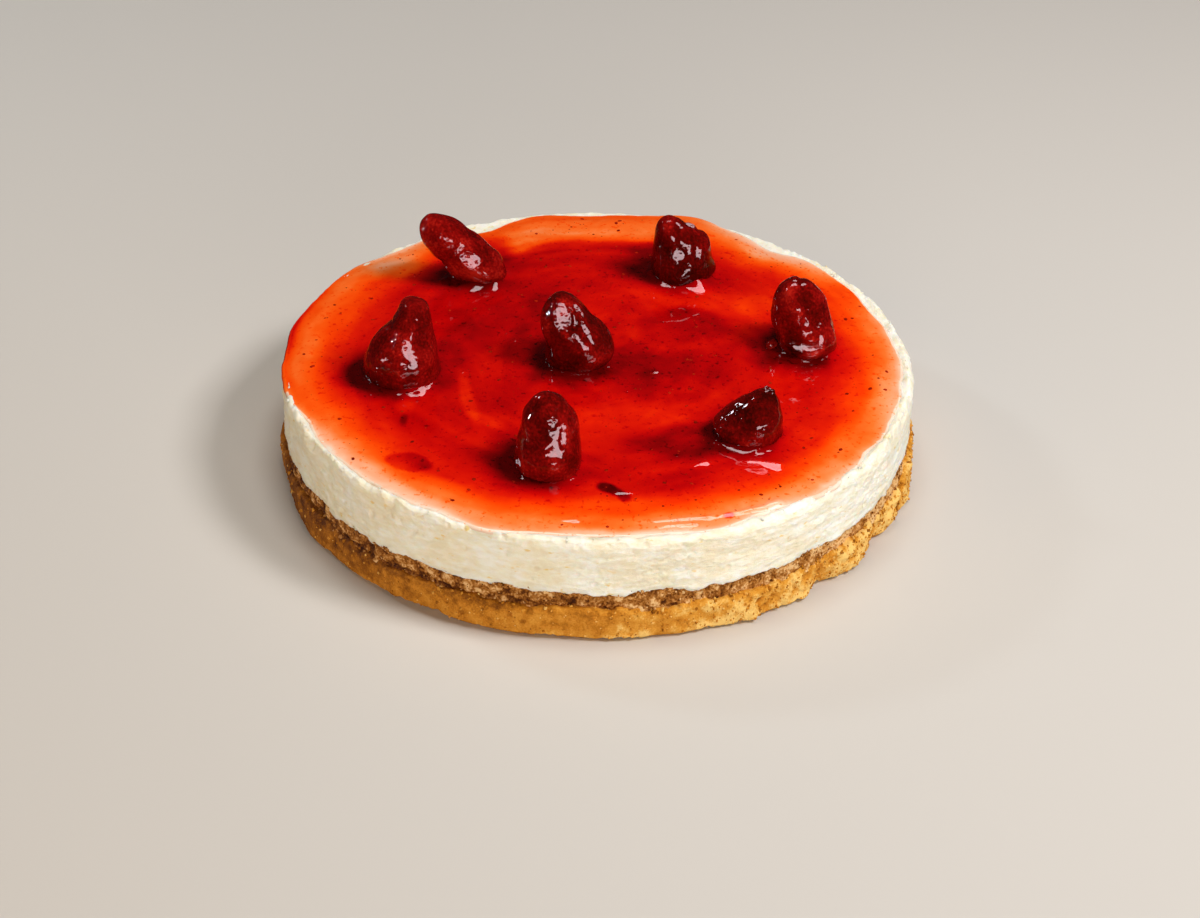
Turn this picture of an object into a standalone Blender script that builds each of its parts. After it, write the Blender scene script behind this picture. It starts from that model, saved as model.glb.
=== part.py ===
"""Strawberry cheesecake: shortcrust base, brown sponge, cheese filling, jelly and glazed strawberries.

Metres, +Z up. The origin is the middle of the base's underside, and -Y is the side that faces the viewer.
"""

import math

import bmesh
import bpy
from mathutils import Vector

# Driving dimensions.
CAKE_RADIUS = 0.115
BASE_HEIGHT = 0.0120
SPONGE_HEIGHT = 0.0048
CHEESE_HEIGHT = 0.0212
JELLY_EDGE = 0.0012
JELLY_MIDDLE = 0.0028
GAP = 0.0003

BASE_RADIUS = CAKE_RADIUS + 0.0020
SPONGE_RADIUS = CAKE_RADIUS - 0.0004
JELLY_RADIUS = CAKE_RADIUS - 0.0040

SPONGE_FOOT = BASE_HEIGHT + GAP
CHEESE_FOOT = SPONGE_FOOT + SPONGE_HEIGHT + GAP
CHEESE_TOP = CHEESE_FOOT + CHEESE_HEIGHT
TOPPING_FOOT = CHEESE_TOP + GAP

TURN_STEPS = 96
BERRY_SEGMENTS = 20
BERRY_RINGS = 12
SMOOTH_ANGLE = math.radians(50)

# Slow waves round an outline: (waves in a turn, height in metres, start in radians).
BASE_WAVES = ((3, 0.0002, 0.4), (7, 0.0003, 1.9), (16, 0.0003, 0.2), (29, 0.0002, 2.2))
SPONGE_WAVES = ((5, 0.0003, 1.1), (13, 0.0004, 0.7), (23, 0.0003, 2.9))
CHEESE_WAVES = ((2, 0.0003, 2.6), (5, 0.0003, 0.3), (11, 0.0002, 1.4))
JELLY_WAVES = ((17, 0.0003, 2.0), (26, 0.0002, 0.5))

# Where an outline swells (+) or falls short (-): (direction in degrees, height, half width in degrees).
BASE_SWELLS = ((195, -0.0013, 9), (285, 0.0008, 4), (313, -0.0028, 3.5), (331, -0.0028, 3), (41, -0.0015, 3))
JELLY_SWELLS = (
    (20, -0.0016, 6), (52, -0.0030, 5), (72, 0.0056, 8), (103, 0.0012, 5), (115, -0.0052, 6),
    (146, 0.0016, 7), (163, 0.0027, 36), (190, 0.0010, 8), (203, -0.0013, 5), (250, 0.0022, 8),
    (269, -0.0010, 8), (290, 0.0022, 6), (314, 0.0025, 10),
)

# Each berry leans from its root, sunk in the jelly, to its tip, and its middle may bend aside. Its section
# is an ellipse of the two half widths. A taper of 0 is a rod and 1 a cone, and a high bluntness keeps the
# ends full. A bulge is (place along the berry, direction round it in degrees, height, spread).
BERRIES = {
    "strawberry_back_left": {
        "root": (-0.0370, 0.0570, 0.0390), "tip": (-0.0666, 0.0575, 0.0660), "half": (0.0089, 0.0089),
        "taper": 0.13, "blunt": 3.6, "bend": 0.0005,
        "bulges": ((0.16, 180, 0.0031, 0.30), (0.62, 180, 0.0007, 0.30)),
    },
    "strawberry_left": {
        "root": (-0.0708, -0.0125, 0.0350), "tip": (-0.0644, -0.0105, 0.0708), "half": (0.0163, 0.0155),
        "taper": 0.53, "blunt": 7.0, "bend": -0.0015,
        "bulges": ((0.84, 0, -0.0022, 0.30), (0.83, 180, -0.0036, 0.20), (0.39, 180, 0.0005, 0.25)),
    },
    "strawberry_centre": {
        "root": (-0.0050, -0.0015, 0.0350), "tip": (-0.0150, -0.0005, 0.0686), "half": (0.0137, 0.0132),
        "taper": 0.44, "blunt": 3.4, "bend": -0.0009,
        "bulges": ((0.32, 0, 0.0040, 0.30), (0.48, 180, -0.0025, 0.20)),
    },
    "strawberry_front": {
        "root": (-0.0166, -0.0703, 0.0350), "tip": (-0.0163, -0.0700, 0.0692), "half": (0.0138, 0.0138),
        "taper": 0.47, "blunt": 4.2, "bend": -0.0003,
        "bulges": ((0.62, 0, 0.0009, 0.20), (0.35, 180, -0.0003, 0.30)),
    },
    "strawberry_front_right": {
        "root": (0.0534, -0.0486, 0.0360), "tip": (0.0615, -0.0506, 0.0600), "half": (0.0141, 0.0131),
        "taper": 0.66, "blunt": 3.5, "bend": -0.0010,
        "bulges": ((0.20, 180, 0.0029, 0.30), (0.87, 0, -0.0014, 0.20)),
    },
    "strawberry_right": {
        "root": (0.0794, 0.0113, 0.0350), "tip": (0.0711, 0.0123, 0.0682), "half": (0.0137, 0.0132),
        "taper": 0.40, "blunt": 3.3, "bend": -0.0007,
        "bulges": ((0.12, 180, -0.0025, 0.30), (0.25, 0, -0.0010, 0.30)),
    },
    "strawberry_back": {
        "root": (0.0326, 0.0608, 0.0350), "tip": (0.0257, 0.0618, 0.0649), "half": (0.0121, 0.0113),
        "taper": 0.47, "blunt": 3.6, "bend": 0.0010,
        "bulges": ((0.63, 350, 0.0037, 0.25), (0.14, 0, 0.0033, 0.25), (0.35, 180, 0.0013, 0.25)),
    },
}
BULGE_TURN = 55

# The jelly heaps up round each berry's foot as a low dome: its reach past the berry, and how far it is shifted
# towards -X, where most of the berries trail a thicker pool.
HEAP_REACH = 0.0135
HEAP_SHIFT = 0.0020
HEAP_HEIGHT = 0.0090
HEAP_SINK = 0.0040


def clear_scene():
    for item in list(bpy.data.objects):
        bpy.data.objects.remove(item, do_unlink=True)


def collection(name):
    made = bpy.data.collections.new(name)
    bpy.context.scene.collection.children.link(made)
    return made


def material(name, colour, roughness):
    made = bpy.data.materials.new(name)
    made.use_nodes = True
    shader = made.node_tree.nodes["Principled BSDF"]
    shader.inputs["Base Color"].default_value = (*colour, 1.0)
    shader.inputs["Roughness"].default_value = roughness
    shader.inputs["Metallic"].default_value = 0.0
    return made


def add_object(name, mesh, group, surface=None):
    made = bpy.data.objects.new(name, mesh)
    group.objects.link(made)
    if surface:
        mesh.materials.clear()
        mesh.materials.append(surface)
    return made


def smooth(mesh):
    mesh.shade_smooth()
    mesh.set_sharp_from_angle(angle=SMOOTH_ANGLE)


def turn_from(angle, degrees):
    """How far an angle is from a direction, in degrees, the short way round."""
    return (math.degrees(angle) - degrees + 180) % 360 - 180


def waves(angle, terms):
    return sum(height * math.sin(count * angle + start) for count, height, start in terms)


def swells(angle, terms):
    return sum(height * math.exp(-((turn_from(angle, place) / width) ** 2)) for place, height, width in terms)


def turned_mesh(name, profile, group):
    """A closed solid of revolution. The profile of (radius, height) runs from the top's middle out and down."""
    line = bpy.data.meshes.new(name + "_profile")
    points = [(radius, 0.0, height) for radius, height in profile]
    line.from_pydata(points, [(i, i + 1) for i in range(len(points) - 1)], [])
    guide = add_object(name + "_profile", line, group)
    screw = guide.modifiers.new("turn", "SCREW")
    screw.axis = "Z"
    screw.steps = screw.render_steps = TURN_STEPS
    screw.use_merge_vertices = True
    screw.merge_threshold = 0.00002
    bpy.context.view_layer.update()
    evaluated = guide.evaluated_get(bpy.context.evaluated_depsgraph_get())
    mesh = bpy.data.meshes.new_from_object(evaluated)
    bpy.data.objects.remove(guide)
    mesh.name = name
    return mesh


def push_edge(mesh, inner, outer, change):
    """Moves the outside in or out by change(angle, height), fading to nothing from the outer radius to the inner."""
    for vertex in mesh.vertices:
        radius = math.hypot(vertex.co.x, vertex.co.y)
        if radius <= inner:
            continue
        angle = math.atan2(vertex.co.y, vertex.co.x)
        share = min((radius - inner) / (outer - inner), 1.0)
        grown = 1 + change(angle, vertex.co.z) * share / radius
        vertex.co.x *= grown
        vertex.co.y *= grown


def shortcrust_base(group):
    """A baked crust disc, a little wider than the cake, with a worn upper edge and a few broken places."""
    profile = (
        (0.0, BASE_HEIGHT),
        (CAKE_RADIUS - 0.004, BASE_HEIGHT),
        (BASE_RADIUS - 0.0014, BASE_HEIGHT - 0.0005),
        (BASE_RADIUS - 0.0003, BASE_HEIGHT - 0.0028),
        (BASE_RADIUS, BASE_HEIGHT * 0.45),
        (BASE_RADIUS - 0.0004, 0.0014),
        (BASE_RADIUS - 0.0014, 0.0),
        (0.0, 0.0),
    )
    mesh = turned_mesh("shortcrust_base", profile, group)
    push_edge(
        mesh,
        CAKE_RADIUS - 0.010,
        BASE_RADIUS - 0.0014,
        lambda angle, height: waves(angle + 40 * height, BASE_WAVES) + swells(angle, BASE_SWELLS),
    )
    smooth(mesh)
    return add_object("shortcrust_base", mesh, group, material("shortcrust", (0.56, 0.33, 0.12), 0.8))


def sponge_layer(group):
    """The thin moist brown sponge between the crust and the filling."""
    top = SPONGE_FOOT + SPONGE_HEIGHT
    profile = (
        (0.0, top),
        (SPONGE_RADIUS - 0.0012, top),
        (SPONGE_RADIUS, top - 0.0014),
        (SPONGE_RADIUS + 0.0006, SPONGE_FOOT + 0.0012),
        (SPONGE_RADIUS + 0.0002, SPONGE_FOOT),
        (0.0, SPONGE_FOOT),
    )
    mesh = turned_mesh("sponge_layer", profile, group)
    push_edge(
        mesh,
        CAKE_RADIUS - 0.010,
        SPONGE_RADIUS - 0.0012,
        lambda angle, height: waves(angle - 60 * height, SPONGE_WAVES),
    )
    smooth(mesh)
    return add_object("sponge_layer", mesh, group, material("moist_sponge", (0.26, 0.12, 0.05), 0.7))


def cheese_filling(group):
    """The thick pale filling, smooth-sided from its ring, with a soft upper edge."""
    profile = (
        (0.0, CHEESE_TOP),
        (CAKE_RADIUS - 0.0020, CHEESE_TOP),
        (CAKE_RADIUS - 0.0006, CHEESE_TOP - 0.0005),
        (CAKE_RADIUS, CHEESE_TOP - 0.0022),
        (CAKE_RADIUS + 0.0002, CHEESE_FOOT + CHEESE_HEIGHT * 0.5),
        (CAKE_RADIUS, CHEESE_FOOT + 0.0016),
        (CAKE_RADIUS - 0.0010, CHEESE_FOOT),
        (0.0, CHEESE_FOOT),
    )
    mesh = turned_mesh("cheese_filling", profile, group)
    push_edge(mesh, CAKE_RADIUS - 0.010, CAKE_RADIUS - 0.0020, lambda angle, height: waves(angle, CHEESE_WAVES))
    smooth(mesh)
    return add_object("cheese_filling", mesh, group, material("cheese_cream", (0.90, 0.86, 0.74), 0.55))


def jelly_reach(angle):
    """The jelly's uneven outline as a change in its radius."""
    return waves(angle, JELLY_WAVES) + swells(angle, JELLY_SWELLS)


def heap_mesh(name, berry):
    """The low dome of jelly round a berry's foot, cut flat inside the jelly's own thickness."""
    root = Vector(berry["root"])
    share = (TOPPING_FOOT + JELLY_MIDDLE - root.z) / (berry["tip"][2] - root.z)
    foot = root.lerp(Vector(berry["tip"]), share)
    body = bmesh.new()
    bmesh.ops.create_uvsphere(body, u_segments=20, v_segments=14, radius=1.0)
    for vertex in body.verts:
        vertex.co.x = foot.x - HEAP_SHIFT + vertex.co.x * (berry["half"][0] + HEAP_REACH)
        vertex.co.y = foot.y + vertex.co.y * (berry["half"][1] + HEAP_REACH)
        vertex.co.z = TOPPING_FOOT - HEAP_SINK + vertex.co.z * HEAP_HEIGHT
    mesh = bpy.data.meshes.new(name)
    body.to_mesh(mesh)
    body.free()
    cut_flat(mesh, TOPPING_FOOT + JELLY_EDGE / 2)
    return mesh


def strawberry_jelly(group, helpers):
    """The poured jelly: thick in the middle, thin at its uneven rim, heaped round each berry, and cut to fit it."""
    rings = 3
    lip = JELLY_RADIUS - 0.0025
    top = [
        (lip * i / rings, TOPPING_FOOT + JELLY_EDGE + (JELLY_MIDDLE - JELLY_EDGE) * (1 - (i / rings) ** 4))
        for i in range(rings + 1)
    ]
    rim = (
        (JELLY_RADIUS - 0.0008, TOPPING_FOOT + JELLY_EDGE * 0.8),
        (JELLY_RADIUS, TOPPING_FOOT + JELLY_EDGE * 0.4),
        (JELLY_RADIUS - 0.0003, TOPPING_FOOT),
        (0.0, TOPPING_FOOT),
    )
    mesh = turned_mesh("strawberry_jelly", (*top, *rim), group)
    push_edge(mesh, JELLY_RADIUS - 0.020, JELLY_RADIUS - 0.0025, lambda angle, height: jelly_reach(angle))
    jelly = add_object("strawberry_jelly", mesh, group, material("strawberry_glaze", (0.62, 0.02, 0.01), 0.08))
    for operation, make in (("UNION", heap_mesh), ("DIFFERENCE", lambda name, berry: berry_mesh(name, berry, GAP))):
        for berry_name, berry in BERRIES.items():
            name = berry_name + ("_heap" if operation == "UNION" else "_hole")
            tool = add_object(name, make(name, berry), helpers)
            tool.hide_render = True
            tool.display_type = "WIRE"
            change = jelly.modifiers.new(name, "BOOLEAN")
            change.object = tool
            change.operation = operation
            change.solver = "EXACT"
    return jelly


def berry_mesh(name, berry, grown=0.0):
    """A unit sphere drawn out along the berry's axis, bent and bulged. `grown` widens it all round, for a cutter."""
    root = Vector(berry["root"])
    axis = Vector(berry["tip"]) - root
    along_axis = axis.normalized()
    first = (Vector((1, 0, 0)) - along_axis * along_axis.x).normalized()
    second = along_axis.cross(first)
    body = bmesh.new()
    bmesh.ops.create_uvsphere(body, u_segments=BERRY_SEGMENTS, v_segments=BERRY_RINGS, radius=1.0)
    for vertex in body.verts:
        along = (vertex.co.z + 1) / 2
        around = math.atan2(vertex.co.y, vertex.co.x)
        closing = math.sqrt(max(0.0, 1 - abs(2 * along - 1) ** berry["blunt"]))
        out = first * (math.cos(around) * berry["half"][0]) + second * (math.sin(around) * berry["half"][1])
        bulge = sum(
            height * math.exp(-(((along - place) / spread) ** 2) - (turn_from(around, way) / BULGE_TURN) ** 2)
            for place, way, height, spread in berry["bulges"]
        )
        vertex.co = root + axis * along + Vector((4 * along * (1 - along) * berry["bend"], 0, 0))
        vertex.co += out * (closing * (1 - berry["taper"] * along)) + out.normalized() * (bulge + grown) * closing
    mesh = bpy.data.meshes.new(name)
    body.to_mesh(mesh)
    body.free()
    return mesh


def cut_flat(mesh, height):
    """Slices a mesh level at a height, keeps what is above, and closes the cut."""
    body = bmesh.new()
    body.from_mesh(mesh)
    everything = body.verts[:] + body.edges[:] + body.faces[:]
    bmesh.ops.bisect_plane(
        body, geom=everything, dist=1e-6, plane_co=(0, 0, height), plane_no=(0, 0, 1), clear_inner=True
    )
    rim = [edge for edge in body.edges if edge.is_boundary]
    bmesh.ops.holes_fill(body, edges=rim, sides=0)
    bmesh.ops.recalc_face_normals(body, faces=body.faces)
    body.to_mesh(mesh)
    body.free()


def strawberries(group):
    """The whole glazed berries, each cut flat where it stands on the filling."""
    skin = material("glazed_strawberry", (0.20, 0.006, 0.008), 0.12)
    for name, berry in BERRIES.items():
        mesh = berry_mesh(name, berry)
        cut_flat(mesh, TOPPING_FOOT)
        smooth(mesh)
        add_object(name, mesh, group, skin)


def main():
    clear_scene()
    cake = collection("strawberry_cheesecake")
    helpers = collection("helpers")
    shortcrust_base(cake)
    sponge_layer(cake)
    cheese_filling(cake)
    strawberry_jelly(cake, helpers)
    strawberries(cake)


main()
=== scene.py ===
"""A round cheesecake: shortcrust, brown sponge, cream cheese filling, strawberry jelly and glazed berries."""

import math

import bpy
import numpy as np
from mathutils import Matrix, Vector


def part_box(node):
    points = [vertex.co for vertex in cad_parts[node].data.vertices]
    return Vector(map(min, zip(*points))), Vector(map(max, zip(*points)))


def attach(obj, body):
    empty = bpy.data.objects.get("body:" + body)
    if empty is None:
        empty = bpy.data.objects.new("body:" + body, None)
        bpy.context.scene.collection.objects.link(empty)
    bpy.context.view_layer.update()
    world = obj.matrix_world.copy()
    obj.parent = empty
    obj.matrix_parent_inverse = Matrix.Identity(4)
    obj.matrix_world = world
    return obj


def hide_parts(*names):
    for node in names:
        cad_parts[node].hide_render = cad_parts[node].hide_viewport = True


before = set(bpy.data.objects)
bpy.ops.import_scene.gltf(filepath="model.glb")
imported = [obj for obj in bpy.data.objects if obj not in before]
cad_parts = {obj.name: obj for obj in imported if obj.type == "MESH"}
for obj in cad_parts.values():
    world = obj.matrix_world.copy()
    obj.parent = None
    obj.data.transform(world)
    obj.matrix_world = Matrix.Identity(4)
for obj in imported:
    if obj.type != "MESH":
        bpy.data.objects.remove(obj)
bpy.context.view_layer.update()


# Shortcrust base. A disc of shortcrust blind baked in the ring: golden sandy crumb at the side, with pits
# where crumbs have come away and a broken lower edge, and darker at the left.


def lattice(x, y, z, seed):
    """A repeatable random number from 0 to 1 for each whole-number cell: its indices times large odd numbers,
    folded together and scrambled."""
    mixed = ((x * 73856093) ^ (y * 19349663) ^ (z * 83492791) ^ (seed * 2654435761)) & 0xFFFFFFFF
    mixed = ((mixed ^ (mixed >> 15)) * 2246822519) & 0xFFFFFFFF
    mixed = ((mixed ^ (mixed >> 13)) * 3266489917) & 0xFFFFFFFF
    return ((mixed ^ (mixed >> 16)) & 0xFFFFFF) / float(0x1000000)


def waver(points, size, seed=0):
    """A smooth random field from -1 to 1: a random value at each corner of a grid of cells `size` wide,
    blended between corners by a smooth step."""
    cell = points / size
    low = np.floor(cell).astype(np.int64)
    part = cell - low
    part = part * part * (3 - 2 * part)
    total = np.zeros(points.shape[:-1])
    for corner in np.ndindex(2, 2, 2):
        weight = np.prod(np.where(corner, part, 1 - part), axis=-1)
        total += weight * lattice(*(low[..., k] + corner[k] for k in range(3)), seed)
    return 2 * total - 1


def rough(points, size, seed=0, layers=3):
    """Wavers of half the size and half the height, added up."""
    return sum(waver(points, size / 2**k, seed + 7 * k) / 2**k for k in range(layers))


def grains(points, size, seed=0):
    """Distance, in cells, to the nearest of random centres, one in each cell of a grid."""
    cell = points / size
    low = np.floor(cell).astype(np.int64)
    near = np.full(points.shape[:-1], 9.0)
    for step in np.ndindex(3, 3, 3):
        home = low + np.array(step) - 1
        centre = home + np.stack([lattice(*np.moveaxis(home, -1, 0), seed + k) for k in range(3)], axis=-1)
        near = np.minimum(near, np.linalg.norm(cell - centre, axis=-1))
    return near


def off_degrees(angle, place):
    """How far an angle in radians is from a direction in degrees, the short way round."""
    return (np.degrees(angle) - place + 180) % 360 - 180


def swells(angle, terms):
    """Sum of bells round a circle, each (direction in degrees, height, half width in degrees)."""
    return sum(height * np.exp(-((off_degrees(angle, place) / width) ** 2)) for place, height, width in terms)


def waves(angle, terms):
    """Sum of sine waves round a circle, each (waves in a turn, height, start)."""
    return sum(height * np.sin(count * angle + start) for count, height, start in terms)


def ease(low, high, value):
    """0 below low, 1 above high, and a smooth step between."""
    part = np.clip((value - low) / (high - low), 0, 1)
    return part * part * (3 - 2 * part)


def circle(angle, radius):
    """Points of a level circle about the cake's middle."""
    return np.stack([np.cos(angle), np.sin(angle), 0 * angle], -1) * radius


def closed_faces(rows, columns):
    """Faces over a closed grid of points, which come row by row, and after them the top's and the bottom's
    middle: each cell is a quad, and a fan closes each end."""
    ring = np.arange(rows * columns).reshape(rows, columns)
    beside = np.roll(ring, -1, axis=1)
    quads = np.stack([ring[:-1], ring[1:], beside[1:], beside[:-1]], axis=-1).reshape(-1, 4)
    top, bottom = np.full(columns, rows * columns), np.full(columns, rows * columns + 1)
    head = np.stack([top, ring[0], beside[0]], -1)
    return quads, np.concatenate([head, np.stack([bottom, beside[-1], ring[-1]], -1)])


def closed_mesh(name, grid, **marks):
    """A closed skin from a grid of points, with rows from the top's middle out, down and in to the bottom's
    middle, and columns once round. Marks are stored on its points."""
    points = np.concatenate([grid.reshape(-1, 3), [grid[0].mean(0)], [grid[-1].mean(0)]])
    values = {}
    for key, mark in marks.items():
        values[key] = np.concatenate([mark.reshape(-1), [mark[0].mean()], [mark[-1].mean()]])
    return plain_mesh(name, points, *closed_faces(*grid.shape[:2]), **values)


def plain_mesh(name, points, quads, fans, **marks):
    """A smooth-shaded mesh from arrays of points, quads and the triangles of fans."""
    mesh = bpy.data.meshes.new(name)
    corners = np.concatenate([quads.reshape(-1), fans.reshape(-1)]).astype(np.int32)
    sizes = np.concatenate([np.full(len(quads), 4), np.full(len(fans), 3)]).astype(np.int32)
    mesh.vertices.add(len(points))
    mesh.vertices.foreach_set("co", points.reshape(-1).astype(np.float32))
    mesh.loops.add(len(corners))
    mesh.loops.foreach_set("vertex_index", corners)
    mesh.polygons.add(len(sizes))
    mesh.polygons.foreach_set("loop_start", np.concatenate([[0], np.cumsum(sizes)[:-1]]).astype(np.int32))
    mesh.polygons.foreach_set("use_smooth", np.ones(len(sizes), bool))
    mesh.update(calc_edges=True)
    for key, mark in marks.items():
        mesh.attributes.new(key, "FLOAT", "POINT").data.foreach_set("value", mark.astype(np.float32))
    return mesh


def serve(mesh, finish, slot, *nodes):
    """Puts a finished mesh on the cake: it rides on the root body and may replace CAD nodes. The slot is not
    used.
    """
    made = bpy.data.objects.new(mesh.name, mesh)
    bpy.context.scene.collection.objects.link(made)
    mesh.materials.append(finish)
    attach(made, "root")
    if nodes:
        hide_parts(*nodes)
    return made


def tone(red, green, blue):
    """A colour given as 0 to 255 on screen, as the linear values that a shader takes."""
    part = np.array([red, green, blue]) / 255
    return (*np.where(part <= 0.04045, part / 12.92, ((part + 0.055) / 1.055) ** 2.4), 1.0)


def finish_of(name, **values):
    """A new material, its node tree and its shader, with constants set on the shader's own sockets."""
    made = bpy.data.materials.new(name)
    made.use_nodes = True
    shader = made.node_tree.nodes["Principled BSDF"]
    for key, value in values.items():
        shader.inputs[key.replace("_", " ")].default_value = value
    return made, made.node_tree, shader


def add(tree, kind, inputs=None, **settings):
    """Adds a node with its settings, and links or sets each of its inputs."""
    made = tree.nodes.new("ShaderNode" + kind)
    for key, value in settings.items():
        setattr(made, key, value)
    for key, value in (inputs or {}).items():
        if isinstance(value, bpy.types.NodeSocket):
            tree.links.new(value, made.inputs[key])
        else:
            made.inputs[key].default_value = value
    return made


def maths(tree, operation, *values, clamp=False):
    """A sum on values, each of them a number or a socket."""
    return add(tree, "Math", dict(enumerate(values)), operation=operation, use_clamp=clamp).outputs[0]


def noise(tree, place, scale, detail=2.0, **more):
    """Cloudy noise from 0 to 1, its scale in clouds to the metre."""
    return add(tree, "TexNoise", {"Vector": place, "Scale": scale, "Detail": detail, **more}).outputs["Fac"]


def mark_of(tree, name):
    """A mark stored on the mesh."""
    return add(tree, "Attribute", attribute_name=name).outputs["Fac"]


def scale_of(tree, stops, value):
    """A colour ramp through (place, screen colour) stops."""
    ramp = add(tree, "ValToRGB", {"Fac": value})
    ramp.color_ramp.interpolation = "LINEAR"
    for index, (place, colour) in enumerate(stops):
        stop = ramp.color_ramp.elements[index] if index < 2 else ramp.color_ramp.elements.new(place)
        stop.position = place
        stop.color = tone(*colour)
    return ramp.outputs["Color"]


def crumb_group():
    """Crumb: a mark's height mixed with fine grain gives a shade from 0 to 1, and a height for a bump."""
    tree = bpy.data.node_groups.new("crumb", "ShaderNodeTree")
    for name, value in (("Mark", 0.5), ("Grain", 1500.0), ("Gain", 1.0), ("Patch", 90.0)):
        tree.interface.new_socket(name, in_out="INPUT", socket_type="NodeSocketFloat").default_value = value
    for name in ("Shade", "Height"):
        tree.interface.new_socket(name, in_out="OUTPUT", socket_type="NodeSocketFloat")
    given = tree.nodes.new("NodeGroupInput").outputs
    place = add(tree, "TexCoord").outputs["Object"]
    grain = noise(tree, place, given["Grain"], 3.0)
    patch = noise(tree, place, given["Patch"], 4.0)
    mixed = maths(tree, "MULTIPLY_ADD", maths(tree, "SUBTRACT", grain, 0.5), given["Gain"], given["Mark"])
    mixed = maths(tree, "MULTIPLY_ADD", patch, 0.9, mixed)
    out = tree.nodes.new("NodeGroupOutput").inputs
    tree.links.new(maths(tree, "SUBTRACT", mixed, 0.45, clamp=True), out["Shade"])
    tree.links.new(grain, out["Height"])
    return tree


crumb = crumb_group()


def crumb_finish(name, tones, roughness, specular, raised, **sizes):
    """A dry crumbly finish: the mesh's relief mark with crumb of some sizes, coloured by tones and raised."""
    made, tree, shader = finish_of(name, Roughness=roughness, Specular_IOR_Level=specular)
    mix = add(tree, "Group", {"Mark": mark_of(tree, "relief"), **sizes}, node_tree=crumb).outputs
    tree.links.new(scale_of(tree, tones, mix["Shade"]), shader.inputs["Base Color"])
    bump = add(tree, "Bump", {"Height": mix["Height"], "Strength": raised, "Distance": 0.0005})
    tree.links.new(bump.outputs["Normal"], shader.inputs["Normal"])
    return made


def run(*path):
    """A profile of (radius, height) through corners, with the number of even steps between each two."""
    corners, counts = path[::2], path[1::2]
    parts = [np.linspace(*ends, n, endpoint=False) for *ends, n in zip(corners, corners[1:], counts)]
    return np.concatenate([*parts, [corners[-1]]])


def turned(profile, turn, change=0.0):
    """Carries a profile of (radius, height) once round: x and y are the radius, with its change, times the
    angle's cosine and sine."""
    radius = profile[:, 0, None] + change + 0 * turn
    flat = radius[..., None] * np.stack([np.cos(turn), np.sin(turn)], -1)
    return np.concatenate([flat, np.broadcast_to(profile[:, 1, None, None], (*radius.shape, 1))], -1)


base_low, base_high = (np.array(corner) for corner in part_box("shortcrust_base"))
CAKE_RADIUS, HUB = 0.115, 0.002
BASE_RADIUS, BASE_TOP = (base_high[0] - base_low[0]) / 2, base_high[2]
BASE_FACE = BASE_RADIUS - 0.0003
TURN = np.linspace(0, 2 * np.pi, 1350, endpoint=False)
RING = circle(TURN, CAKE_RADIUS)
BASE_WAVES = ((3, 0.0002, 0.4), (7, 0.0003, 1.9), (16, 0.0003, 0.2), (29, 0.0002, 2.2))
BASE_SWELLS = ((195, -0.0013, 9), (285, 0.0008, 4), (313, -0.0028, 3.5), (331, -0.0028, 3), (41, -0.0015, 3))
base_profile = run(
    (HUB, BASE_TOP), 4, (0.106, BASE_TOP), 12, (BASE_RADIUS - 0.0012, BASE_TOP), 4,
    (BASE_FACE, BASE_TOP - 0.0014), 21, (BASE_FACE, 0.0012), 4, (BASE_RADIUS - 0.0015, 0.0), 8,
    (0.104, 0.0), 4, (HUB, 0.0),
)


def crust_relief(points):
    """Height of the crumb in metres: slow swells, uneven lumps and sandy grains, less sparse pits and cracks
    where a wavering field passes through zero."""
    lump = grains(points + 0.0012 * rough(points, 0.004, 17)[..., None], 0.0048, 3)
    sand, pit = grains(points, 0.0014, 11), grains(points, 0.0085, 23)
    crack = np.abs(rough(points, 0.010, 31)) + 0.90 * (1 - ease(0.1, 0.5, waver(points, 0.013, 37)))
    height = 0.00042 * rough(points, 0.012, 5, 2) + 0.00030 * (0.8 - lump)
    height += 0.00020 * rough(points, 0.0030, 9)
    height += 0.00026 * (0.75 - sand) - 0.0012 * np.clip(1 - pit / 0.19, 0, 1) ** 0.7
    return height - 0.0005 * np.clip(1 - crack / 0.05, 0, 1)


fade = ease(0.104, 0.113, base_profile[:, 0])[:, None]
# The broken places bite deeper towards the foot than under the sponge.
bite = np.interp(base_profile[:, 1], [0.0, BASE_TOP * 0.5, BASE_TOP], [0.95, 0.6, 0.2])[:, None]
ragged = TURN + 0.022 * rough(turned(base_profile, TURN), 0.006, 61)
change = waves(TURN, BASE_WAVES) + swells(ragged, BASE_SWELLS) * bite
base_grid = turned(base_profile, TURN, fade * change)
# The broken side, from the front right round to the right, has coarser chunks than where the skin stayed.
broken = swells(TURN, ((320, 1.0, 34), (20, 0.5, 30), (75, 0.4, 40)))
chunks = 0.0009 * rough(base_grid, 0.0055, 51) + 0.0004 * rough(base_grid, 0.002, 53, 2)
base_relief = crust_relief(base_grid) * (0.6 + 1.0 * broken) + broken * chunks
level = np.clip(base_grid[..., 2] / BASE_TOP, 0, 1)
push = fade * base_relief * np.where(base_profile[:, 1] < 0.0002, 0.3, 1.0)[:, None]
base_grid[..., :2] *= (1 + push * ease(0.112, 0.1155, base_profile[:, 0])[:, None] / BASE_RADIUS)[..., None]
rim = 0.0009 * rough(RING, 0.0045, 57)
hem = 0.0016 * np.clip(rough(RING, 0.006, 59) - 0.15, 0, 1)
base_grid[..., 2] += fade * ease(0.6, 1.0, level) * rim
base_grid[..., 2] += (1 - ease(0, 0.3, level)) * ease(0.1135, 0.1155, base_profile[:, 0])[:, None] * hem
base_grid[..., 2] = np.clip(base_grid[..., 2], 0, None)
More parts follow.
